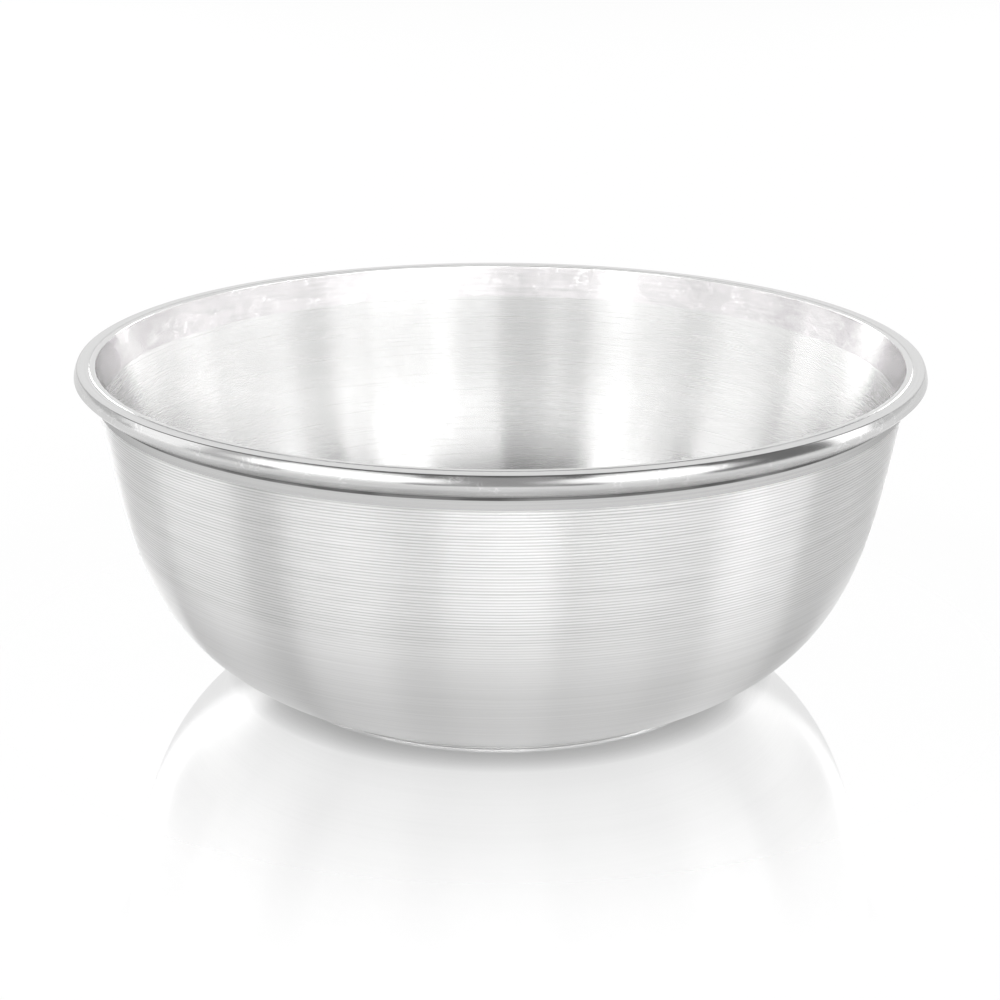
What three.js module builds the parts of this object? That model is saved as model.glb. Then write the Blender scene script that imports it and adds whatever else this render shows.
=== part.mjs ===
// Katori bowl: a small turned metal bowl with a solid ring round the outside of its mouth.
// Millimetres, +Z up. The origin is the middle of the foot, on the surface that the bowl stands on.

import * as THREE from 'three';

// Driving dimensions, in millimetres. Slopes are in degrees from level.
const rimDiameter = 102;        // over the ring, the widest part of the bowl
const bowlHeight = 40;
const footDiameter = 56.4;      // flat disc that the bowl stands on
const footEdgeHeight = 0.4;     // upright turned edge round the foot
const sheetThickness = 0.75;    // wall of the bowl, square to its surface
const bottomSlope = 20.7;       // outside of the bottom where it leaves the foot
const bottomReach = 17.7;       // how far the curve is led along that slope
const wallSlope = 79.3;         // outside of the wall at the straight lip
const wallReach = 14.9;         // how far the curve is led along that slope
const neckHeight = 1.45;        // plain band of the lip that shows below the ring
const ringWidth = 1.67;         // from the seam to the widest point, at the mouth
const ringHeight = 3;
const ringEdgeRadius = 0.27;    // rounding between the ring's flat top and its outside
const seamGap = 0.1;            // solder seam between the lip and the ring

// Facets
const turnSteps = 72;           // round the axis, a multiple of four so that the width is exact
const wallSteps = 14;           // along the curve from the foot to the lip
const edgeSteps = 3;
const ringSteps = 8;

// Sizes that follow from the driving ones
const lipHeight = ringHeight + neckHeight;
const lipRadius = rimDiameter / 2 - ringWidth - seamGap;   // outside of the lip at the mouth
const wallAngle = THREE.MathUtils.degToRad(wallSlope);
const bottomAngle = THREE.MathUtils.degToRad(bottomSlope);

const direction = (angle) => new THREE.Vector2(Math.cos(angle), Math.sin(angle));

// How far the sloping lip draws in over a drop in height
const lipInset = (drop) => drop / Math.tan(wallAngle);

// Revolves a profile of (radius, height) points about +Z
function turned(profile) {
  const geometry = new THREE.LatheGeometry(profile, turnSteps);
  geometry.rotateX(Math.PI / 2);
  return geometry;
}

// A quarter of an ellipse in the profile, from one angle to another about a centre
function quarter(centre, radiusAcross, radiusUp, fromDegrees, toDegrees, steps) {
  const points = [];
  for (let i = 0; i <= steps; i += 1) {
    const angle = THREE.MathUtils.degToRad(fromDegrees + (toDegrees - fromDegrees) * i / steps);
    points.push(new THREE.Vector2(
      centre.x + radiusAcross * Math.cos(angle),
      centre.y + radiusUp * Math.sin(angle),
    ));
  }
  return points;
}

// The bowl itself: foot disc, curved wall and straight lip, as one sheet of even thickness
function bowlProfile() {
  const footEdgeTop = new THREE.Vector2(footDiameter / 2, footEdgeHeight);
  const lipTop = new THREE.Vector2(lipRadius, bowlHeight);
  const lipFoot = new THREE.Vector2(lipRadius - lipInset(lipHeight), bowlHeight - lipHeight);
  const wall = new THREE.CubicBezierCurve(
    footEdgeTop,
    direction(bottomAngle).multiplyScalar(bottomReach).add(footEdgeTop),
    direction(wallAngle).multiplyScalar(-wallReach).add(lipFoot),
    lipFoot,
  );

  const outside = [];
  const inside = [];
  for (let i = 0; i <= wallSteps; i += 1) {
    const point = wall.getPoint(i / wallSteps);
    const along = wall.getTangent(i / wallSteps);
    const inward = new THREE.Vector2(-along.y, along.x).multiplyScalar(sheetThickness);
    outside.push(point);
    inside.push(point.clone().add(inward));
  }

  const lipInside = new THREE.Vector2(lipTop.x - sheetThickness / Math.sin(wallAngle), bowlHeight);
  return [
    new THREE.Vector2(0, 0),
    new THREE.Vector2(footEdgeTop.x, 0),
    ...outside,
    lipTop,
    lipInside,
    ...inside.reverse(),
    new THREE.Vector2(0, inside.at(-1).y),
  ];
}

// The ring: flat on top, level with the lip, upright outside and rounded in below to the lip
function ringProfile() {
  const innerRadius = (z) => lipRadius + seamGap - lipInset(bowlHeight - z);
  const outerRadius = innerRadius(bowlHeight) + ringWidth;
  const bottom = bowlHeight - ringHeight;
  const widest = bowlHeight - ringEdgeRadius;
  const innerBottom = new THREE.Vector2(innerRadius(bottom), bottom);
  const belly = quarter(new THREE.Vector2(innerBottom.x, widest), outerRadius - innerBottom.x,
    widest - bottom, -90, 0, ringSteps);
  const edge = quarter(new THREE.Vector2(outerRadius - ringEdgeRadius, widest), ringEdgeRadius,
    ringEdgeRadius, 0, 90, edgeSteps);
  return [
    ...belly,
    ...edge.slice(1),
    new THREE.Vector2(innerRadius(bowlHeight), bowlHeight),
    belly[0].clone(),
  ];
}

const turnedMetal = new THREE.MeshStandardMaterial({ color: 0xc9c9c8, roughness: 0.34, metalness: 1 });
const polishedMetal = new THREE.MeshStandardMaterial({ color: 0xd2d1cf, roughness: 0.12, metalness: 1 });

const bowlBody = new THREE.Mesh(turned(bowlProfile()), turnedMetal);
bowlBody.name = 'bowl_body';

const rimRing = new THREE.Mesh(turned(ringProfile()), polishedMetal);
rimRing.name = 'rim_ring';

const katoriBowl = new THREE.Group();
katoriBowl.add(bowlBody, rimRing);

export default katoriBowl;
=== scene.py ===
# Katori bowl: the turned and polished finish of a small metal bowl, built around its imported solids.
# Sizes in the dictionaries are millimetres and degrees; meshes are written in metres.
import math

import bpy
import numpy as np
from mathutils import Matrix, Vector


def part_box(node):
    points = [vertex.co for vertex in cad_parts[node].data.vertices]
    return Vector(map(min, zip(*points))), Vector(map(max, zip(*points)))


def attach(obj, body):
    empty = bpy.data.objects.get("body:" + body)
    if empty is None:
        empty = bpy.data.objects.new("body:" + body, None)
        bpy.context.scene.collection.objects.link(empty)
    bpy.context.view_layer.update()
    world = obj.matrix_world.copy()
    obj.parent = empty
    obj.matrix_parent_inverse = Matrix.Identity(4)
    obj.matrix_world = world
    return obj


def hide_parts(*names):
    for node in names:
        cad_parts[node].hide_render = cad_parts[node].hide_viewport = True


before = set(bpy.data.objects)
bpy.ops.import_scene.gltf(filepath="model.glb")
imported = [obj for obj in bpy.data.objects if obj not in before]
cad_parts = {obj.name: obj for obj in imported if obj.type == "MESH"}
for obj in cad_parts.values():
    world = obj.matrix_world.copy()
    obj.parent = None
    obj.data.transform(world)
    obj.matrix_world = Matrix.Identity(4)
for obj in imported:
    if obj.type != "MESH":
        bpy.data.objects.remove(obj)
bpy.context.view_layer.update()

metresPerMm = 0.001
rng = np.random.default_rng(17)


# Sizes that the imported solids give
bodyBox = [np.array(corner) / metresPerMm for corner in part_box("bowl_body")]
ringBox = [np.array(corner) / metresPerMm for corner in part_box("rim_ring")]
bowlHeight = bodyBox[1][2]
lipRadius = bodyBox[1][0]
rimRadius = ringBox[1][0]
ringHeight = bowlHeight - ringBox[0][2]


# Shapes

bowl = {
    "footDiameter": 56.4,
    "footEdgeHeight": 0.4,
    "footCorner": 0.12,        # rounding of the foot's sharp edge
    "sheetThickness": 0.75,
    "bottomSlope": 20.7,       # outside of the bottom where it leaves the foot
    "bottomReach": 17.7,       # how far the curve is led along that slope
    "wallSlope": 79.3,         # outside of the wall at the straight lip
    "wallReach": 14.9,
    "neckHeight": 1.45,        # plain band of the lip that shows below the ring
    "groovePitch": 0.36,
    "grooveDepth": 0.04,
    "grooveJitter": 0.2,       # share by which one groove's depth differs from the next
    "grooveFadeFrom": 21.0,    # height where the grooves begin to fade into plain turning
    "grooveFadeTo": 13.0,
    "lipCorner": 0.12,         # rounding of the mouth's inner edge
    "bandHeight": 4.2,         # polished band inside the mouth
    # shares of the way up the lip, from and to, and how many points; they are closest at the seam
    "lipPoints": ((0.0, 0.19, 5), (0.2, 0.34, 12), (0.6, 1.0, 2)),
    "turns": 160,              # facets round the axis
}

ring = {
    "edgeRadius": 0.15,        # rounding between the flat top and the polished face
    "faceHeight": 1.1,
    "faceLeanTop": 26.0,       # degrees by which the face leans in at its top
    "faceLeanFoot": 7.0,       # and at its foot, so that it bulges a little
    "noseRadius": 0.2,         # rounding at the widest point
    "bellySlope": 42.0,        # from upright, where the underside starts
    "bellyEnd": 76.0,          # and where it meets the lip
    "seam": 0.004,             # the solder fills the seam, so that the ring meets the lip
    "seamPaintedShade": 0.8,          # how far the painted shade on the underside reaches from the lip
    "seamPaintedShadeEdge": 2.0,      # how sharply that ends
    "neckPaintedShade": 0.4,          # how far the painted shade on the neck reaches below the ring
    "neckPaintedShadeEdge": 3.0,
    "turns": 288,
}

# How many points the stretches of the two profiles have
pointCount = {
    "curve": 4001,             # of the Bezier, before it is cut into even steps
    "foot": 24,
    "footEdge": 5,
    "lipTop": 4,
    "lipEdge": 6,
    "band": 10,
    "inside": 64,
    "floor": 20,
    "nose": 7,
    "face": 10,
    "ringEdge": 8,
    "belly": 24,
    "ringTop": 6,
    "ringInside": 5,
}


def along(points):
    # distance along a profile: the running sum of the straight steps between its points
    steps = np.hypot(*np.diff(points, axis=0).T)
    return np.concatenate([[0.0], np.cumsum(steps)])


def arc(centre, radiusAcross, radiusUp, fromDegrees, toDegrees, count):
    # points of an ellipse about a centre: centre + (across * cos a, up * sin a), a evenly spaced
    a = np.radians(np.linspace(fromDegrees, toDegrees, count))
    return np.stack([centre[0] + radiusAcross * np.cos(a), centre[1] + radiusUp * np.sin(a)], axis=1)


def paintedShadeNear(distance, width, sharpness):
    # painted shade next to the seam under the ring: 1 at the seam and 0 from the given width on: sharpness *
    # (1 - distance / width), kept within 0 and 1
    return np.clip(sharpness * (1 - distance / width), 0, 1)


def wallCurve():
    # cubic Bezier in (radius, height) from the top of the foot's edge to the bottom of the straight lip:
    # it leaves along the bottom's slope and arrives along the wall's slope
    lipHeight = ringHeight + bowl["neckHeight"]
    wall = math.radians(bowl["wallSlope"])
    bottom = math.radians(bowl["bottomSlope"])
    p0 = np.array([bowl["footDiameter"] / 2, bowl["footEdgeHeight"]])
    p3 = np.array([lipRadius - lipHeight / math.tan(wall), bowlHeight - lipHeight])
    p1 = p0 + bowl["bottomReach"] * np.array([math.cos(bottom), math.sin(bottom)])
    p2 = p3 - bowl["wallReach"] * np.array([math.cos(wall), math.sin(wall)])
    t = np.linspace(0.0, 1.0, pointCount["curve"])[:, None]
    points = (1 - t) ** 3 * p0 + 3 * t * (1 - t) ** 2 * p1 + 3 * t ** 2 * (1 - t) * p2 + t ** 3 * p3
    slopes = 3 * (1 - t) ** 2 * (p1 - p0) + 6 * t * (1 - t) * (p2 - p1) + 3 * t ** 2 * (p3 - p2)
    return points, slopes / np.linalg.norm(slopes, axis=1)[:, None]


def pointsAt(points, normals, distances):
    # the profile and its inward normal at given distances along it, by straight interpolation
    run = along(points)
    place = np.stack([np.interp(distances, run, points[:, k]) for k in (0, 1)], axis=1)
    normal = np.stack([np.interp(distances, run, normals[:, k]) for k in (0, 1)], axis=1)
    return place, normal / np.linalg.norm(normal, axis=1)[:, None]


def groovedWall():
    # outside of the wall, foot to lip: the Bezier pushed in along its normal by
    # depth * (1 - cos(2 pi * distance below the neck / pitch)) / 2, four points to each groove
    points, slopes = wallCurve()
    inward = np.stack([-slopes[:, 1], slopes[:, 0]], axis=1)
    length = along(points)[-1]
    quarterSteps = np.arange(0, int(length / bowl["groovePitch"]) * 4 + 1)
    down = quarterSteps * bowl["groovePitch"] / 4
    place, normal = pointsAt(points, inward, length - down)
    depth = bowl["grooveDepth"] * (1 - bowl["grooveJitter"] * rng.random(quarterSteps[-1] // 4 + 2))
    fadeHeight = bowl["grooveFadeFrom"] - bowl["grooveFadeTo"]
    fade = np.clip((place[:, 1] - bowl["grooveFadeTo"]) / fadeHeight, 0, 1)
    sink = depth[(quarterSteps + 2) // 4] * fade * (1 - np.cos(np.pi / 2 * quarterSteps)) / 2
    # how deep each point of a groove lies, 0 to 1: the mask for the painted shade in the groove bottoms
    paintedShadeMask = np.concatenate([[0.0], (sink / bowl["grooveDepth"])[::-1]])
    return np.concatenate([points[:1], (place + normal * sink[:, None])[::-1]]), paintedShadeMask


def bodyProfile():
    # the sheet's whole outline in (radius, height), from the axis under the foot round to the axis inside,
    # as stretches that each carry the number of their finish
    points, slopes = wallCurve()
    inward = np.stack([-slopes[:, 1], slopes[:, 0]], axis=1)
    insideWall = points + inward * bowl["sheetThickness"]
    wall = math.radians(bowl["wallSlope"])
    lipInside = np.array([lipRadius - bowl["sheetThickness"] / math.sin(wall), bowlHeight])
    corner = bowl["footCorner"]
    footRadius = bowl["footDiameter"] / 2
    foot = np.linspace((0, 0), (footRadius - corner, 0), pointCount["foot"])
    footEdge = arc((footRadius - corner, corner), corner, corner, -90, 0, pointCount["footEdge"])
    outside, paintedShadeMask = groovedWall()
    lipShare = np.concatenate([np.linspace(*stretch) for stretch in bowl["lipPoints"]])[:, None]
    neck = outside[-1] + lipShare * (np.array([lipRadius, bowlHeight]) - outside[-1])
    # painted shade on the top of the neck, where the crevice under the ring is shaded
    underRing = bowlHeight - ringHeight - neck[:, 1]
    neckPaintedShade = paintedShadeNear(underRing, ring["neckPaintedShade"], ring["neckPaintedShadeEdge"])
    roundOver = bowl["lipCorner"]
    lipCentre = (lipInside[0] + roundOver, bowlHeight - roundOver)
    lipEdge = arc(lipCentre, roundOver, roundOver, 90, 180, pointCount["lipEdge"])
    lipTop = np.linspace((lipRadius, bowlHeight), lipEdge[0], pointCount["lipTop"])
    bandDrop = bowl["bandHeight"]
    bandFoot = np.array([lipInside[0] - bandDrop / math.tan(wall), bowlHeight - bandDrop])
    band = np.linspace(lipEdge[-1], bandFoot, pointCount["band"])
    below = insideWall[insideWall[:, 1] < bandFoot[1]]
    run = along(below)
    down = np.linspace(run[-1], 0, pointCount["inside"])
    inside = np.stack([np.interp(down, run, below[:, k]) for k in (0, 1)], axis=1)
    floor = np.linspace(inside[-1], (0, inside[-1][1]), pointCount["floor"])
    return [(foot, 0), (footEdge, 0), (outside, 1, paintedShadeMask), (neck, 2, neckPaintedShade), (lipTop, 3), (lipEdge, 3),
            (band, 4), (inside, 5), (floor, 5)]


def ringProfile():
    # the ring's closed outline: an underside that is a quadratic Bezier from the lip to the widest point,
    # (1 - t)^2 a + 2 t (1 - t) b + t^2 c, then arcs for the widest point, the leaning face and the top edge,
    # a flat top, and an inside that lies along the lip
    wall = math.radians(bowl["wallSlope"])
    innerTop = lipRadius + ring["seam"]
    lipPoint = np.array([innerTop - ringHeight / math.tan(wall), bowlHeight - ringHeight])
    edge, nose = ring["edgeRadius"], ring["noseRadius"]
    leanTop, leanFoot = ring["faceLeanTop"], ring["faceLeanFoot"]
    sinTop, cosTop = math.sin(math.radians(leanTop)), math.cos(math.radians(leanTop))
    sinFoot, cosFoot = math.sin(math.radians(leanFoot)), math.cos(math.radians(leanFoot))
    faceRadius = ring["faceHeight"] / (sinTop - sinFoot)
    faceTop = bowlHeight - edge * (1 - sinTop)
    noseCentre = np.array([rimRadius - nose, faceTop - ring["faceHeight"] - nose * sinFoot])
    faceCentre = noseCentre - (faceRadius - nose) * np.array([cosFoot, sinFoot])
    edgeCentre = faceCentre + (faceRadius - edge) * np.array([cosTop, sinTop])
    noseArc = arc(noseCentre, nose, nose, -ring["bellySlope"], leanFoot, pointCount["nose"])
    face = arc(faceCentre, faceRadius, faceRadius, leanFoot, leanTop, pointCount["face"])
    edgeArc = arc(edgeCentre, edge, edge, leanTop, 90, pointCount["ringEdge"])

    start, end = math.radians(ring["bellySlope"]), math.radians(ring["bellyEnd"])
    leaving = np.array([-math.sin(start), -math.cos(start)])
    arriving = np.array([-math.sin(end), -math.cos(end)])
    reach = np.linalg.solve(np.stack([leaving, arriving], axis=1), lipPoint - noseArc[0])
    bend = noseArc[0] + reach[0] * leaving
    t = np.linspace(0, 1, pointCount["belly"])[:, None]
    belly = (1 - t) ** 2 * lipPoint + 2 * t * (1 - t) * bend + t ** 2 * noseArc[0]
    # painted shade on the ring's underside next to the lip, where the crevice is shaded
    shade = paintedShadeNear(along(belly), ring["seamPaintedShade"], ring["seamPaintedShadeEdge"])

    top = np.linspace(edgeArc[-1], (innerTop, bowlHeight), pointCount["ringTop"])
    innerFace = np.linspace(top[-1], belly[0], pointCount["ringInside"])
    return [(belly, 0, shade), (noseArc, 0), (face, 0), (edgeArc, 0), (top, 1), (innerFace, 0)]


def turnedPiece(name, stretches, turns, closed, materials):
    # surface of revolution: point (radius r, height z) of the profile goes to (r cos a, r sin a, z) for
    # a from 0 to a full turn. Profiles either close on themselves or start and end on the axis. The mesh
    # keeps the way round and along the profile as "lay", and a mask for painted shade, 0 to 1: how deep a
    # groove is, for the painted shade in its bottom, and next to the ring how much painted shade the seam
    # gets.
    profile = np.concatenate([stretch[0] for stretch in stretches])
    paintedShadeMask = np.concatenate([stretch[2] if len(stretch) > 2 else np.zeros(len(stretch[0]))
                          for stretch in stretches])
    finish = np.concatenate([np.full(len(stretch[0]), stretch[1]) for stretch in stretches])
    samePoint = 1e-6
    apart = np.concatenate([[True], np.hypot(*np.diff(profile, axis=0).T) > samePoint])
    profile, paintedShadeMask, finish = profile[apart], paintedShadeMask[apart], finish[apart][1:]
    run = along(profile)
    angle = np.arange(turns) * 2 * np.pi / turns
    step = np.arange(turns)
    following = (step + 1) % turns

    first = 0 if closed else 1
    rings, ringRun, ringPaintedShadeMask = profile[first:-1], run[first:-1], paintedShadeMask[first:-1]
    count = len(rings)
    r = rings[:, 0][:, None]
    z = np.repeat(rings[:, 1][:, None], turns, 1)
    verts = np.stack([r * np.cos(angle), r * np.sin(angle), z], axis=2).reshape(-1, 3)
    layX, layY = (way[None].repeat(count, 0) * rimRadius for way in (np.cos(angle), np.sin(angle)))
    lay = np.stack([layX, layY, ringRun[:, None].repeat(turns, 1)], axis=2).reshape(-1, 3)

    upper = np.arange(count if closed else count - 1)
    lower = (upper + 1) % count
    stretchOf = upper if closed else upper + 1
    a = upper[:, None] * turns + step
    b = upper[:, None] * turns + following
    c = lower[:, None] * turns + following
    d = lower[:, None] * turns + step
    quads = np.stack([a, b, c, d], axis=2).reshape(-1, 4)
    quadFinish = np.repeat(finish[stretchOf], turns)
    u0 = (step / turns)[None].repeat(len(upper), 0)
    u1 = ((step + 1) / turns)[None].repeat(len(upper), 0)
    v0 = (run[stretchOf] / run[-1])[:, None].repeat(turns, 1)
    v1 = (run[stretchOf + 1] / run[-1])[:, None].repeat(turns, 1)
    quadUv = np.stack([u0, v0, u1, v0, u1, v1, u0, v1], axis=2).reshape(-1, 2)
    faces = quads.tolist()
    faceFinish = quadFinish.tolist()
    uv = [quadUv]
    if not closed:
        lowPole, highPole = len(verts), len(verts) + 1
        verts = np.concatenate([verts, [[0, 0, profile[0][1]], [0, 0, profile[-1][1]]]])
        lay = np.concatenate([lay, [[0, 0, 0], [0, 0, run[-1]]]])
        top = (count - 1) * turns
        faces += np.stack([np.full(turns, lowPole), following, step], axis=1).tolist()
        faces += np.stack([top + step, top + following, np.full(turns, highPole)], axis=1).tolist()
        faceFinish += [int(finish[0])] * turns + [int(finish[-1])] * turns
        middle = (step + 0.5) / turns
        vFirst, vLast = run[1] / run[-1], run[-2] / run[-1]
        uv.append(np.stack([middle, 0 * middle, (step + 1) / turns, 0 * middle + vFirst,
                            step / turns, 0 * middle + vFirst], axis=1).reshape(-1, 2))
        uv.append(np.stack([step / turns, 0 * middle + vLast, (step + 1) / turns, 0 * middle + vLast,
                            middle, 0 * middle + 1], axis=1).reshape(-1, 2))

    mesh = bpy.data.meshes.new(name)
    mesh.from_pydata((verts * metresPerMm).tolist(), [], faces)
    mesh.polygons.foreach_set("material_index", np.array(faceFinish, dtype=np.int32))
    mesh.polygons.foreach_set("use_smooth", np.ones(len(faces), dtype=bool))
    turning = mesh.uv_layers.new(name="turning")
    turning.data.foreach_set("uv", np.concatenate(uv).astype(np.float32).ravel())
    layAttribute = mesh.attributes.new("lay", "FLOAT_VECTOR", "POINT")
    layAttribute.data.foreach_set("vector", lay.astype(np.float32).ravel())
    paintedShadeMasks = np.zeros(len(verts), dtype=np.float32)
    paintedShadeMasks[:count * turns] = np.repeat(ringPaintedShadeMask, turns)
    mesh.attributes.new("paintedShadeMask", "FLOAT", "POINT").data.foreach_set("value", paintedShadeMasks)
    for material in materials:
        mesh.materials.append(material)
    mesh.update()
    mesh.validate()
    piece = bpy.data.objects.new(name, mesh)
    bpy.context.scene.collection.objects.link(piece)
    return piece


# Finishes

# What a finish has where its own dictionary names nothing else
plainLook = {
    "edgeTone": 1.0,           # reflection kept at a grazing view, as a share of a plain metal's
    "glossChange": 0.015,      # share by which the roughness differs from mark to mark
    "paintedShadeTone": 0.3,            # painted shade: colour at the bottom of a groove and in the seam under the ring, as a share of the dark one
}

# Pairs are the values of a noise between which a mark goes from nothing to its full strength, and tones
# are shares of a finish's dark colour
marks = {
    "colour": (0.3, 0.6),
    "gloss": (0.3, 0.7),
    # painted shade in the groove bottoms and in the seam under the ring
    "paintedShadeMaskRange": (0.25, 0.85),
    "paintedShadePerMm": 1.5,           # how often the painted shade in the grooves' bottoms changes from groove to groove
    "paintedShadeAlong": 0.12,          # and round the bowl
    "paintedShadeStrengthRange": (0.35, 0.65),
    "paintedShadeLeast": 0.7,           # painted shade left in the palest grooves
    # colour of the painted shade towards the foot, as a share of the dark one
    "footPaintedShadeTone": 0.4,
    "hair": (0.6, 0.74),
    "hairTone": 0.45,
    "patch": (0.48, 0.56),
    "patchTone": 0.55,
    "patchBend": 1.2,
    "scratchWander": 0.9,      # per scratch size: how often a scratch bends
    "scratchBend": 2.4,        # and how far
    "scratchLine": (0.02, 0.06),
    "scratchAreas": 0.55,      # how often places with scratches follow each other
    "scratchPlace": (0.54, 0.62),
    "scratchColour": (0.95, 0.95, 0.95),
    "wavesPerMm": 0.4,
}

# Places in the noises, so that no two marks share a pattern
seeds = {"fine": 1, "scratch": 3, "paintedShadeMask": 4, "hair": 5, "wave": 9}
seedStep = (3.7, 1.3, 7.1)
scratchStep = (5.3, 2.9, 8.1)

grooved = {
    "light": (0.68, 0.679, 0.677),    # the fine marks' two colours
    "dark": (0.62, 0.619, 0.617),
    "edgeTone": 0.66,
    "roughness": 0.35,
    "anisotropy": 1.0,         # how far the gloss is stretched across the marks
    "linesPerMm": 6.0,
    "lineLength": 50.0,        # mm, of one turning mark
    "relief": 0.001,           # mm
    "glossChange": 0.06,
    "paintedShadeShare": 0.52,          # how much painted shade darkens the bottom of a groove
    "footPaintedShadeShare": 0.28,        # painted shade: how much darker the wall is towards the foot, where it mirrors the floor that the bowl shades
    "footPaintedShadeFrom": 58.0,         # mm along the profile from the axis, where that begins
    "footPaintedShadeTo": 48.0,
}

brushed = {
    "light": (0.636, 0.635, 0.633),
    "dark": (0.622, 0.621, 0.619),
    "roughness": 0.27,
    "anisotropy": 1.0,
    "linesPerMm": 9.0,
    "lineLength": 12.0,
    "relief": 0.00012,
    "glossChange": 0.025,
    "hairShare": 0.05,         # how much darker a hairline is
    "hairsPerMm": 7.0,
    "hairLength": 0.9,
    "scratchShare": 0.16,      # the small stray scratches, lighter than the rest
    "scratchSize": 1.0,
}

polishedBand = {
    "light": (0.63, 0.617, 0.623),
    "dark": (0.58, 0.569, 0.574),
    "roughness": 0.26,
    "anisotropy": 0.9,
    "linesPerMm": 4.0,
    "lineLength": 8.0,
    "relief": 0.00012,
    "scratchShare": 0.4,
    "scratchSize": 0.9,
    "patchShare": 0.1,         # the cloudy patches that the polishing wheel left
    "patchSize": 3.0,
}

neckTurning = {
    # colours darker than the grooved wall's: partly a duller finish, partly painted shade under the ring
    "light": (0.57, 0.569, 0.567),
    "dark": (0.53, 0.529, 0.527),
    "edgeTone": 0.6,
    "roughness": 0.21,
    "anisotropy": 0.8,
    "linesPerMm": 8.0,
    "lineLength": 60.0,
    "relief": 0.001,
    "paintedShadeShare": 0.95,          # how dark the painted shade in the seam under the ring is
    "paintedShadeTone": 0.14,
}

footTurning = {
    "light": (0.64, 0.639, 0.637),
    "dark": (0.57, 0.569, 0.567),
    "roughness": 0.3,
    "anisotropy": 0.6,
    "linesPerMm": 5.0,
    "lineLength": 60.0,
    "relief": 0.004,
}

facedLip = {
    "light": (0.68, 0.679, 0.677),
    "dark": (0.65, 0.649, 0.647),
    "roughness": 0.17,
    "anisotropy": 0.3,
    "linesPerMm": 8.0,
    "lineLength": 20.0,
    "relief": 0.001,
}

ringFlat = dict(facedLip, light=(0.65, 0.649, 0.647), dark=(0.62, 0.619, 0.617))

mirrorRing = {
    "light": (0.66, 0.659, 0.657),
    "dark": (0.62, 0.619, 0.617),
    "edgeTone": 0.84,
    "roughness": 0.17,
    "anisotropy": 0.0,
    "linesPerMm": 3.0,
    "lineLength": 8.0,
    "relief": 0.0004,
    # painted shade on the ring's underside next to the lip
    "paintedShadeShare": 0.95,
    "paintedShadeTone": 0.08,
    "scratchShare": 0.3,
    "scratchSize": 1.6,
    "waves": 0.012,            # mm, the slow unevenness that bends the reflections
    "waveLength": 7.0,
}


def newMaterial(name):
    material = bpy.data.materials.new(name)
    material.use_nodes = True
    nodes = material.node_tree.nodes
    nodes.clear()
    output = nodes.new("ShaderNodeOutputMaterial")
    shader = nodes.new("ShaderNodeBsdfPrincipled")
    material.node_tree.links.new(shader.outputs["BSDF"], output.inputs["Surface"])
    return material, nodes, material.node_tree.links, shader


def meshValue(nodes, name, output):
    # what the mesh keeps under a name
    value = nodes.new("ShaderNodeAttribute")
    value.attribute_name = name
    return value.outputs[output]


def layNoise(nodes, links, across, along, detail, seed):
    # noise stretched round the bowl: fine across the turning marks, long along them, both in marks per mm
    mapping = nodes.new("ShaderNodeMapping")
    mapping.inputs["Scale"].default_value = (along, along, across)
    mapping.inputs["Location"].default_value = tuple(seed * step for step in seedStep)
    noise = nodes.new("ShaderNodeTexNoise")
    noise.inputs["Scale"].default_value = 1.0
    noise.inputs["Detail"].default_value = detail
    links.new(meshValue(nodes, "lay", "Vector"), mapping.inputs["Vector"])
    links.new(mapping.outputs["Vector"], noise.inputs["Vector"])
    return noise.outputs["Fac"]


def rangeOf(nodes, links, value, low, high, toLow, toHigh):
    # the value's way from low to high, carried over to the way from toLow to toHigh, and held at its ends
    mapped = nodes.new("ShaderNodeMapRange")
    mapped.inputs["From Min"].default_value = low
    mapped.inputs["From Max"].default_value = high
    mapped.inputs["To Min"].default_value = toLow
    mapped.inputs["To Max"].default_value = toHigh
    links.new(value, mapped.inputs["Value"])
    return mapped.outputs["Result"]


def product(nodes, links, one, other):
    # one times the other, each a number or a socket
    multiply = nodes.new("ShaderNodeMath")
    multiply.operation = "MULTIPLY"
    for number, value in enumerate((one, other)):
        if isinstance(value, float):
            multiply.inputs[number].default_value = value
        else:
            links.new(value, multiply.inputs[number])
    return multiply.outputs[0]


def blend(nodes, links, share, first, second):
    # first colour where the share is 0, second where it is 1; a colour is three numbers or a socket
    mix = nodes.new("ShaderNodeMix")
    mix.data_type = "RGBA"
    links.new(share, mix.inputs[0])
    for number, colour in ((6, first), (7, second)):
        if isinstance(colour, tuple):
            mix.inputs[number].default_value = (*colour, 1)
        else:
            links.new(colour, mix.inputs[number])
    return mix.outputs[2]


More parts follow.
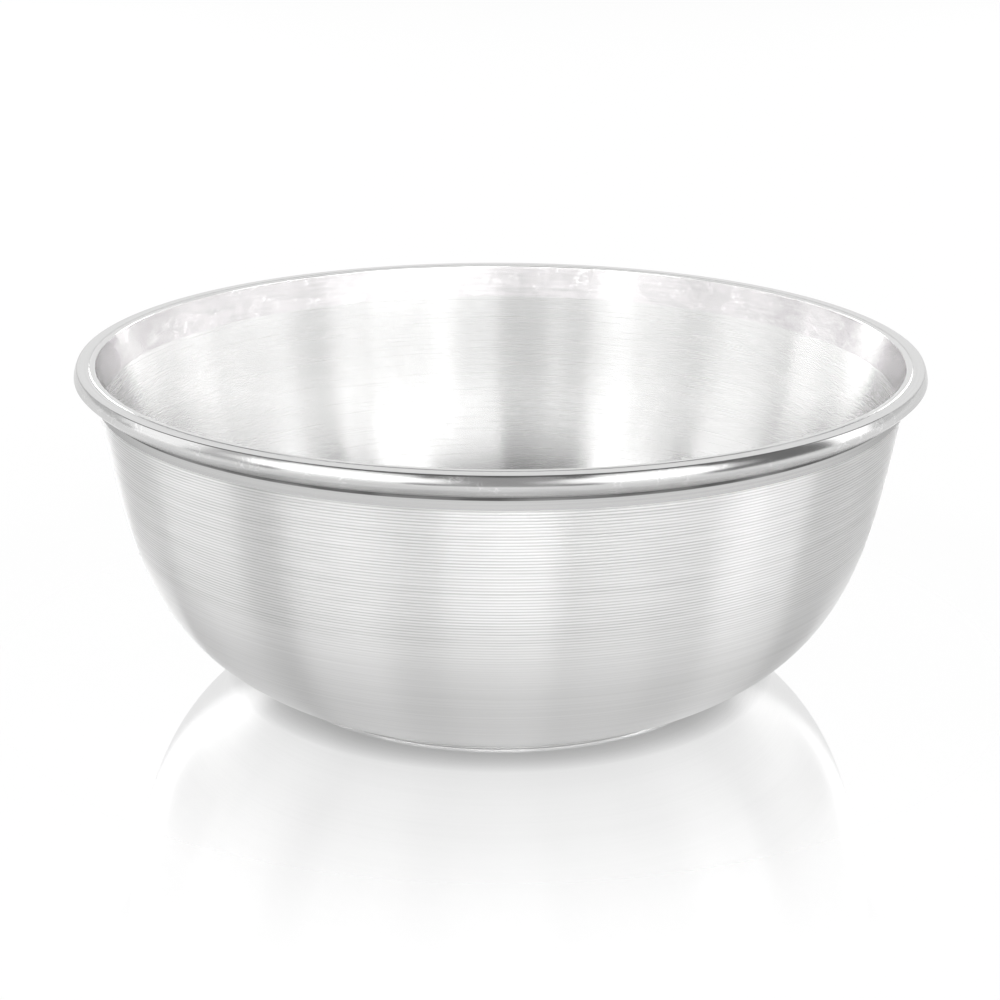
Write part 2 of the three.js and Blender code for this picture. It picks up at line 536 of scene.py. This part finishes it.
def strayScratches(nodes, links, size, seed):
    # short bent lines: the borders of Voronoi cells in place + noise, kept where a coarser noise is high
    lay = meshValue(nodes, "lay", "Vector")
    wander = nodes.new("ShaderNodeTexNoise")
    wander.inputs["Scale"].default_value = marks["scratchWander"] / size
    wander.inputs["Detail"].default_value = 2.0
    links.new(lay, wander.inputs["Vector"])
    strength = nodes.new("ShaderNodeVectorMath")
    strength.operation = "SCALE"
    strength.inputs["Scale"].default_value = marks["scratchBend"] * size
    links.new(wander.outputs["Color"], strength.inputs[0])
    place = nodes.new("ShaderNodeVectorMath")
    place.operation = "ADD"
    links.new(lay, place.inputs[0])
    links.new(strength.outputs["Vector"], place.inputs[1])
    cells = nodes.new("ShaderNodeTexVoronoi")
    cells.feature = "DISTANCE_TO_EDGE"
    cells.inputs["Scale"].default_value = 1.0 / size
    links.new(place.outputs["Vector"], cells.inputs["Vector"])
    line = rangeOf(nodes, links, cells.outputs["Distance"], *marks["scratchLine"], 1, 0)
    where = nodes.new("ShaderNodeTexNoise")
    where.inputs["Scale"].default_value = marks["scratchAreas"] / size
    where.inputs["Detail"].default_value = 1.0
    offset = nodes.new("ShaderNodeMapping")
    offset.inputs["Location"].default_value = tuple(seed * step for step in scratchStep)
    links.new(lay, offset.inputs["Vector"])
    links.new(offset.outputs["Vector"], where.inputs["Vector"])
    kept = rangeOf(nodes, links, where.outputs["Fac"], *marks["scratchPlace"], 0, 1)
    return product(nodes, links, line, kept)


def turnedFinish(name, look):
    # steel with fine marks round the bowl, its gloss stretched across them, and what else the look asks for:
    # painted shade in the groove bottoms, at the seam and towards the foot, hairlines, stray scratches,
    # cloudy patches and slow waves
    look = dict(plainLook, **look)
    material, nodes, links, shader = newMaterial(name)

    def darker(share):
        return tuple(channel * share for channel in look["dark"])

    fine = layNoise(nodes, links, look["linesPerMm"], 1 / look["lineLength"], 3.0, seeds["fine"])
    paleness = rangeOf(nodes, links, fine, *marks["colour"], 0, 1)
    colour = blend(nodes, links, paleness, look["dark"], look["light"])
    rough, change = look["roughness"], look["glossChange"]
    gloss = rangeOf(nodes, links, fine, *marks["gloss"], rough * (1 + change), rough * (1 - change))
    # painted shade in the groove bottoms and at the seam under the ring, stronger and weaker from place to
    # place by a noise
    if "paintedShadeShare" in look:
        paintedShadeMask = meshValue(nodes, "paintedShadeMask", "Fac")
        depth = rangeOf(nodes, links, paintedShadeMask, *marks["paintedShadeMaskRange"], 0, look["paintedShadeShare"])
        paintedShadeStrength = layNoise(nodes, links, marks["paintedShadePerMm"], marks["paintedShadeAlong"], 2.0, seeds["paintedShadeMask"])
        bottom = product(nodes, links, depth,
                         rangeOf(nodes, links, paintedShadeStrength, *marks["paintedShadeStrengthRange"], marks["paintedShadeLeast"], 1.0))
        colour = blend(nodes, links, bottom, colour, darker(look["paintedShadeTone"]))
    # painted shade towards the foot, where the lower wall mirrors the floor that the bowl shades
    if "footPaintedShadeShare" in look:
        way = nodes.new("ShaderNodeSeparateXYZ")
        links.new(meshValue(nodes, "lay", "Vector"), way.inputs["Vector"])
        footPaintedShade = rangeOf(nodes, links, way.outputs["Z"], look["footPaintedShadeTo"], look["footPaintedShadeFrom"],
                        look["footPaintedShadeShare"], 0)
        colour = blend(nodes, links, footPaintedShade, colour, darker(marks["footPaintedShadeTone"]))
    if "hairShare" in look:
        hair = layNoise(nodes, links, look["hairsPerMm"], 1 / look["hairLength"], 1.0, seeds["hair"])
        mark = rangeOf(nodes, links, hair, *marks["hair"], 0, look["hairShare"])
        colour = blend(nodes, links, mark, colour, darker(marks["hairTone"]))
    if "patchShare" in look:
        cloud = nodes.new("ShaderNodeTexNoise")
        cloud.inputs["Scale"].default_value = 1 / look["patchSize"]
        cloud.inputs["Detail"].default_value = 5.0
        cloud.inputs["Distortion"].default_value = marks["patchBend"]
        links.new(meshValue(nodes, "lay", "Vector"), cloud.inputs["Vector"])
        patch = rangeOf(nodes, links, cloud.outputs["Fac"], *marks["patch"], 0, look["patchShare"])
        colour = blend(nodes, links, patch, colour, darker(marks["patchTone"]))
    if "scratchShare" in look:
        scratch = strayScratches(nodes, links, look["scratchSize"], seeds["scratch"])
        share = product(nodes, links, scratch, look["scratchShare"])
        colour = blend(nodes, links, share, colour, marks["scratchColour"])
    links.new(colour, shader.inputs["Base Color"])
    links.new(gloss, shader.inputs["Roughness"])
    shader.inputs["Metallic"].default_value = 1.0
    shader.inputs["Anisotropic"].default_value = look["anisotropy"]
    shader.inputs["Anisotropic Rotation"].default_value = 0.25      # a quarter turn from the tangent
    shader.inputs["Specular Tint"].default_value = (*[look["edgeTone"]] * 3, 1)
    tangent = nodes.new("ShaderNodeTangent")
    tangent.direction_type = "UV_MAP"
    tangent.uv_map = "turning"
    links.new(tangent.outputs["Tangent"], shader.inputs["Tangent"])
    relief = nodes.new("ShaderNodeBump")
    relief.inputs["Strength"].default_value = 1.0
    relief.inputs["Distance"].default_value = look["relief"] * metresPerMm
    links.new(fine, relief.inputs["Height"])
    if "waves" in look:
        slow = nodes.new("ShaderNodeBump")
        slow.inputs["Strength"].default_value = 1.0
        slow.inputs["Distance"].default_value = look["waves"] * metresPerMm
        wave = layNoise(nodes, links, marks["wavesPerMm"], 1 / look["waveLength"], 1.0, seeds["wave"])
        links.new(wave, slow.inputs["Height"])
        links.new(slow.outputs["Normal"], relief.inputs["Normal"])
    links.new(relief.outputs["Normal"], shader.inputs["Normal"])
    return material


grooveMetal = turnedFinish("grooved turning", grooved)
neckMetal = turnedFinish("plain turned neck", neckTurning)
footMetal = turnedFinish("turned foot", footTurning)
lipMetal = turnedFinish("faced lip", facedLip)
bandMetal = turnedFinish("polished band", polishedBand)
insideMetal = turnedFinish("brushed inside", brushed)
ringMetal = turnedFinish("polished ring", mirrorRing)
ringTopMetal = turnedFinish("ring's flat top", ringFlat)
print("stage 2: finishes made")

bowlBody = turnedPiece("bowlBody", bodyProfile(), bowl["turns"], False,
                       [footMetal, grooveMetal, neckMetal, lipMetal, bandMetal, insideMetal])
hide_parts("bowl_body")
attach(bowlBody, "root")

rimRing = turnedPiece("rimRing", ringProfile(), ring["turns"], True, [ringMetal, ringTopMetal])
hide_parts("rim_ring")
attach(rimRing, "root")
print("stage 3: pieces made", {o.name: len(o.data.polygons) for o in (bowlBody, rimRing)})


# Floor, lamps, world and camera

studio = {
    "floorSize": 4000,
    "floorGlow": 0.92,         # white that the floor shows by itself to the camera and to polished metal
    "floorMatte": 0.08,        # part of it that the lamps light, which takes the shadow
    "contactReach": 3,         # how far the dark line round the foot spreads
    "contactLevel": 0.4,       # what it leaves of the floor's white
    "contactSamples": 8,
    "mirrorShare": 0.42,
    "mirrorShareAbove": 0.1,   # the mirror's share for a view from above
    "mirrorFacing": (0.2, 0.7),    # Layer Weight's values between which it grows
    "mirrorFade": (50, 78),    # distances from the axis between which it goes
    "mirrorRoughness": 0.02,
    "fillLevel": 0.25,         # the world's level in the light that the matte floor gets
    "lampDistance": 1000,
    "cardDistance": 1300,
    "cardStep": 6,             # degrees
}

bowlBoxes = [
    # name, azimuths from and to (0 is the camera's side, then towards +X), elevations from and to, radiance
    ("stripFarLeft", -105, -75, 0, 1.5, 26),
    ("stripLeft", -60, -15, 0, 1.5, 26),
    ("stripFront", -15, 15, 0, 1.5, 55),
    ("stripFrontRight", 15, 75, 0, 1.5, 23),
    ("stripRight", 60, 90, 0, 1.5, 27),
    ("boxBackLeft", -150, -105, 12, 22, 6.2),
    ("boxFarLeft", -105, -75, 12, 32, 3.1),
    ("boxLeft", -75, -60, 12, 22, 3.2),
    ("boxFrontLeft", -60, 0, 12, 22, 3.3),
    ("boxFrontLeftMiddle", -45, -30, 12, 32, 1.0),
    ("boxFrontLeftHigh", -60, 0, 22, 32, 1.2),
    ("boxFrontRight", 0, 45, 12, 32, 3.7),
    ("boxRight", 45, 105, 12, 22, 3.9),
    ("boxRightHigh", 45, 60, 22, 32, 2.8),
    ("boxFarRightHigh", 75, 105, 22, 45, 1.9),
    ("boxBackRight", 105, 150, 12, 22, 5.8),
    ("spotLeft", -77, -40, 42, 54, 6.0),
    ("spotRight", 30, 56, 42, 54, 3.5),
    ("flankLeft", -150, -137, 0, 30, 6.5),
    ("flankRight", 142, 150, 0, 30, 5.0),
]

ringBoxes = [
    ("ringFront", -16, 16, 0, 32, 0.42),
    ("ringLeft", -57, -22, 0, 31, 1.2),
    ("ringLeftCore", -65, -14, 6, 23, 1.2),
    ("ringLeftSoft", -74, -8, 9, 19, 0.4),
    ("ringLeftGap", -84, -60, 0, 32, 0.6),
    ("ringFarLeft", -107, -84, 0, 28, 1.4),
    ("ringFarLeftSoft", -112, -79, 4, 24, 0.6),
    ("ringLeftEnd", -150, -108, 0, 28, 0.7),
    ("ringRight", 24, 52, 0, 31, 1.2),
    ("ringRightCore", 16, 59, 6, 23, 1.2),
    ("ringRightSoft", 8, 66, 9, 19, 0.4),
    ("ringRightGap", 60, 91, 0, 32, 0.2),
    ("ringFarRight", 91, 108, 0, 28, 1.9),
    ("ringRightEnd", 108, 150, 0, 28, 0.8),
    ("ringAboveFarLeft", -150, -75, 32, 64, 0.16),
    ("ringAboveLeft", -75, 0, 32, 64, 0.16),
    ("ringAboveRight", 0, 75, 32, 64, 0.16),
    ("ringAboveFarRight", 75, 150, 32, 64, 0.16),
]

cards = [
    # name, azimuths from and to, elevations from and to, level
    ("tentWall", -150, 150, 0, 45, 0.37),
    ("ceiling", -150, 150, 45, 89, 0.05),
]


def seenRay(nodes, links):
    # 1 for what the camera, a reflection or clear glass sees, otherwise 0
    path = nodes.new("ShaderNodeLightPath")
    seen = path.outputs["Is Camera Ray"]
    for kind in ("Is Glossy Ray", "Is Transmission Ray"):
        either = nodes.new("ShaderNodeMath")
        either.operation = "MAXIMUM"
        links.new(seen, either.inputs[0])
        links.new(path.outputs[kind], either.inputs[1])
        seen = either.outputs[0]
    return seen


def addFloor():
    # the floor is white to the camera and in reflections, keeps the bowl's shadow, and mirrors the bowl
    # faintly near the foot: the mirror's share falls with the distance from the axis
    half = studio["floorSize"] / 2 * metresPerMm
    mesh = bpy.data.meshes.new("floor")
    corners = [(-half, -half, 0), (half, -half, 0), (half, half, 0), (-half, half, 0)]
    mesh.from_pydata(corners, [], [(0, 1, 2, 3)])
    material = bpy.data.materials.new("pale floor")
    material.use_nodes = True
    nodes = material.node_tree.nodes
    links = material.node_tree.links
    nodes.clear()
    output = nodes.new("ShaderNodeOutputMaterial")
    matte = nodes.new("ShaderNodeBsdfDiffuse")
    matte.inputs["Color"].default_value = (*[studio["floorMatte"]] * 3, 1)
    glow = nodes.new("ShaderNodeEmission")
    contact = nodes.new("ShaderNodeAmbientOcclusion")
    contact.samples = studio["contactSamples"]
    contact.inputs["Distance"].default_value = studio["contactReach"] * metresPerMm
    shade = rangeOf(nodes, links, contact.outputs["AO"], 0.0, 1.0, studio["contactLevel"], 1.0)
    level = product(nodes, links, product(nodes, links, shade, seenRay(nodes, links)), studio["floorGlow"])
    links.new(level, glow.inputs["Strength"])
    white = nodes.new("ShaderNodeAddShader")
    links.new(matte.outputs[0], white.inputs[0])
    links.new(glow.outputs[0], white.inputs[1])
    mirror = nodes.new("ShaderNodeBsdfGlossy")
    mirror.inputs["Color"].default_value = (1, 1, 1, 1)
    mirror.inputs["Roughness"].default_value = studio["mirrorRoughness"]
    place = nodes.new("ShaderNodeTexCoord")
    distance = nodes.new("ShaderNodeVectorMath")
    distance.operation = "LENGTH"
    links.new(place.outputs["Object"], distance.inputs[0])
    near, far = (r * metresPerMm for r in studio["mirrorFade"])
    facing = nodes.new("ShaderNodeLayerWeight")      # 0 seen from above, 1 at a grazing view
    share = product(nodes, links, rangeOf(nodes, links, distance.outputs["Value"], near, far, 1.0, 0.0),
                    rangeOf(nodes, links, facing.outputs["Facing"], *studio["mirrorFacing"],
                            studio["mirrorShareAbove"], studio["mirrorShare"]))
    mix = nodes.new("ShaderNodeMixShader")
    links.new(share, mix.inputs[0])
    links.new(white.outputs[0], mix.inputs[1])
    links.new(mirror.outputs[0], mix.inputs[2])
    links.new(mix.outputs[0], output.inputs["Surface"])
    mesh.materials.append(material)
    floor = bpy.data.objects.new("floor", mesh)
    bpy.context.scene.collection.objects.link(floor)
    return floor


def addSoftBox(name, fromAzimuth, toAzimuth, fromElevation, toElevation, radiance, receivers):
    # a soft box that faces the middle of the bowl and spans the given angles at its distance; its power,
    # radiance * pi * area, gives the asked radiance over its face
    a = math.radians((fromAzimuth + toAzimuth) / 2)
    e = math.radians((fromElevation + toElevation) / 2)
    out = Vector((math.sin(a) * math.cos(e), -math.cos(a) * math.cos(e), math.sin(e)))
    distance = studio["lampDistance"] * metresPerMm
    data = bpy.data.lights.new(name, "AREA")
    data.shape = "RECTANGLE"
    data.size = 2 * distance * math.tan(math.radians((toAzimuth - fromAzimuth) / 2)) * math.cos(e)
    data.size_y = 2 * distance * math.tan(math.radians((toElevation - fromElevation) / 2))
    data.energy = radiance * math.pi * data.size * data.size_y
    lamp = bpy.data.objects.new(name, data)
    lamp.location = out * distance + Vector((0, 0, bowlHeight * metresPerMm / 2))
    lamp.rotation_euler = (-out).to_track_quat("-Z", "Y").to_euler()
    lamp.light_linking.receiver_collection = receivers
    bpy.context.scene.collection.objects.link(lamp)


def addCard(name, fromAzimuth, toAzimuth, fromElevation, toElevation, level, receivers):
    # a grey card that the camera doesn't see, bent as a part of a sphere about the bowl's middle:
    # distance * (sin a cos e, -cos a cos e, sin e) for azimuths a and elevations e
    across = 1 + round((toAzimuth - fromAzimuth) / studio["cardStep"])
    up = 1 + max(1, round((toElevation - fromElevation) / studio["cardStep"]))
    a = np.radians(np.linspace(fromAzimuth, toAzimuth, across))[:, None]
    e = np.radians(np.linspace(fromElevation, toElevation, up))[None]
    shape = np.stack([np.sin(a) * np.cos(e), -np.cos(a) * np.cos(e), np.sin(e) + 0 * a], axis=2)
    middle = [0, 0, bowlHeight / 2 * metresPerMm]
    verts = shape.reshape(-1, 3) * studio["cardDistance"] * metresPerMm + middle
    corner = (np.arange(across - 1)[:, None] * up + np.arange(up - 1)).ravel()
    faces = np.stack([corner, corner + 1, corner + up + 1, corner + up], axis=1)
    mesh = bpy.data.meshes.new(name)
    mesh.from_pydata(verts.tolist(), [], faces.tolist())
    material = bpy.data.materials.new(name)
    material.use_nodes = True
    nodes = material.node_tree.nodes
    nodes.clear()
    grey = nodes.new("ShaderNodeEmission")
    grey.inputs["Strength"].default_value = level
    output = nodes.new("ShaderNodeOutputMaterial")
    material.node_tree.links.new(grey.outputs[0], output.inputs["Surface"])
    mesh.materials.append(material)
    card = bpy.data.objects.new(name, mesh)
    bpy.context.scene.collection.objects.link(card)
    card.visible_camera = False
    card.light_linking.receiver_collection = receivers


def addWorld():
    # white to the camera and in polished metal, and softer in the light that falls on the matte floor
    world = bpy.data.worlds.new("studio")
    bpy.context.scene.world = world
    world.use_nodes = True
    nodes, links = world.node_tree.nodes, world.node_tree.links
    background = nodes["Background"]
    background.inputs["Color"].default_value = (1, 1, 1, 1)
    links.new(rangeOf(nodes, links, seenRay(nodes, links), 0, 1, studio["fillLevel"], 1),
              background.inputs["Strength"])


floor = addFloor()
bowlSide = bpy.data.collections.new("lit by the bowl's boxes")     # the bowl and the floor
bowlSide.objects.link(bowlBody)
bowlSide.objects.link(floor)
ringSide = bpy.data.collections.new("lit by the ring's boxes")
ringSide.objects.link(rimRing)
for softBox in bowlBoxes:
    addSoftBox(*softBox, bowlSide)
for softBox in ringBoxes:
    addSoftBox(*softBox, ringSide)
for card in cards:
    addCard(*card, bowlSide)
addWorld()

view = {
    "distance": 260.0,        # from the bowl's axis, level
    "height": 106.06,
    "pitch": 18.142,
    "roll": 0.218,
    "lens": 79.48,
    "shiftX": -0.0003,
    "sensor": 36.0,
    "clipStart": 10,
}

cameraData = bpy.data.cameras.new("camera")
cameraData.lens = view["lens"]
cameraData.sensor_width = view["sensor"]
cameraData.shift_x = view["shiftX"]
cameraData.clip_start = view["clipStart"] * metresPerMm
camera = bpy.data.objects.new("camera", cameraData)
pitch = Matrix.Rotation(math.radians(90 - view["pitch"]), 4, "X")
roll = Matrix.Rotation(math.radians(view["roll"]), 4, "Z")
stand = Matrix.Translation(Vector((0, -view["distance"], view["height"])) * metresPerMm)
camera.matrix_world = stand @ pitch @ roll
bpy.context.scene.collection.objects.link(camera)
bpy.context.scene.camera = camera
bpy.context.scene.view_settings.view_transform = "Standard"
print("stage 4: studio and camera set")
